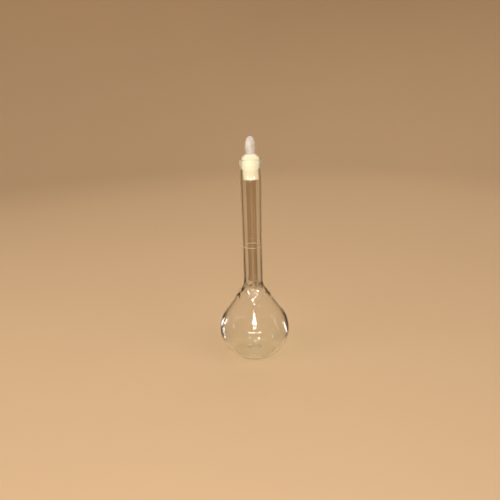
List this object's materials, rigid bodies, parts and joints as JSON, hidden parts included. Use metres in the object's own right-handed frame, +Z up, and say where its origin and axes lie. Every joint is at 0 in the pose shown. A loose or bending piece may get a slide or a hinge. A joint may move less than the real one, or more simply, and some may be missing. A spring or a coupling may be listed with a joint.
{
  "type": "volumetric flask with stopper",
  "caption": "Pear-shaped clear glass volumetric flask with a long narrow neck, etched capacity ring and a solid ground-glass stopper with a round, lens-shaped grip.",
  "frame": {"origin": "centre of the foot, on the plane the flask stands on", "axes": "+Z up along the axis of the flask; the broad faces of the stopper's grip point along +X and -X"},
  "size_m": [0.06, 0.06, 0.189],
  "materials": {
    "clear_glass": "polished, with a ground zone inside the lip",
    "etched_ring": "etched, matt white",
    "stopper_glass": "polished grip, ground plug"
  },
  "bodies": {
    "flask": {"flask_body": "clear_glass", "graduation_ring": "etched_ring"},
    "stopper": {"stopper": "stopper_glass"}
  },
  "joints": [
    {"name": "stopper_lift", "type": "slide", "parent": "flask", "child": "stopper", "axis": [0, 0, 1], "range_m": [0, 0.04]}
  ]
}
